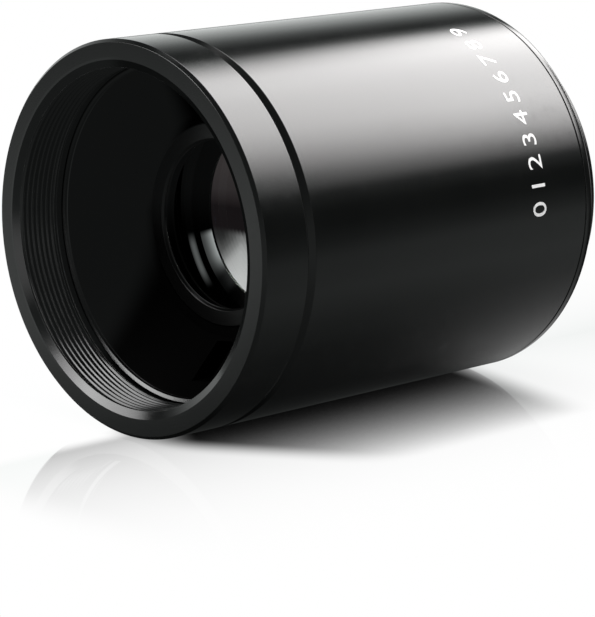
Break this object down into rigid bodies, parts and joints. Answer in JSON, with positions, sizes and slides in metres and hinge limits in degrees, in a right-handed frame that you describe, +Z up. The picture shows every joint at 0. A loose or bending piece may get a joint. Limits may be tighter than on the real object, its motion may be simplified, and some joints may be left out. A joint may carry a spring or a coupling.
{
  "type": "screw-mount barlow lens",
  "caption": "Black metal tube with a female thread in front, a negative lens group deep inside and a male thread behind, used to double a telescope's focal length.",
  "frame": {"origin": "centre of the front face, on the optical axis", "axes": "+X along the optical axis from the front mouth to the rear mount, +Z up with the tube lying on its side"},
  "size_m": [0.061, 0.048, 0.048],
  "materials": {
    "black_anodised": "satin black anodised, finely turned",
    "matte_black": "matte black anti-glare",
    "bare_metal": "bare, finely turned",
    "coated_glass": "polished, anti-reflection coated",
    "white_marking": "printed white ink"
  },
  "bodies": {
    "tube": {"barrel": "black_anodised", "front_baffle": "matte_black", "nose_ring": "matte_black", "glare_stop": "matte_black", "lens_cell": "matte_black", "front_retainer": "matte_black", "front_lens": "coated_glass", "doublet_convex_lens": "coated_glass", "doublet_concave_lens": "coated_glass", "lens_spacer": "matte_black", "rear_lens": "coated_glass", "rear_retainer": "matte_black", "cell_holder": "matte_black", "holder_lock_ring": "matte_black", "cell_nut": "bare_metal", "rear_baffle": "matte_black"},
    "front_washer": {"front_shim": "bare_metal"},
    "front_screw": {"front_collar": "black_anodised"},
    "rear_washer": {"rear_shim": "bare_metal"},
    "rear_screw": {"rear_mount": "black_anodised"}
  },
  "joints": [
    {"name": "front_travel", "type": "slide", "parent": "tube", "child": "front_washer", "axis": [-1, 0, 0], "range_m": [0, 0.00375]},
    {"name": "front_unscrew", "type": "hinge", "parent": "front_washer", "child": "front_screw", "pos_m": [0, 0, 0], "axis": [-1, 0, 0], "range_deg": [0, 1800]},
    {"name": "rear_travel", "type": "slide", "parent": "tube", "child": "rear_washer", "axis": [1, 0, 0], "range_m": [0, 0.00375]},
    {"name": "rear_unscrew", "type": "hinge", "parent": "rear_washer", "child": "rear_screw", "pos_m": [0.057, 0, 0], "axis": [1, 0, 0], "range_deg": [0, 1800]}
  ],
  "couplings": [
    {"joint": "front_travel", "follows": "front_unscrew", "m_per_rad": 0.00011937},
    {"joint": "rear_travel", "follows": "rear_unscrew", "m_per_rad": 0.00011937}
  ]
}
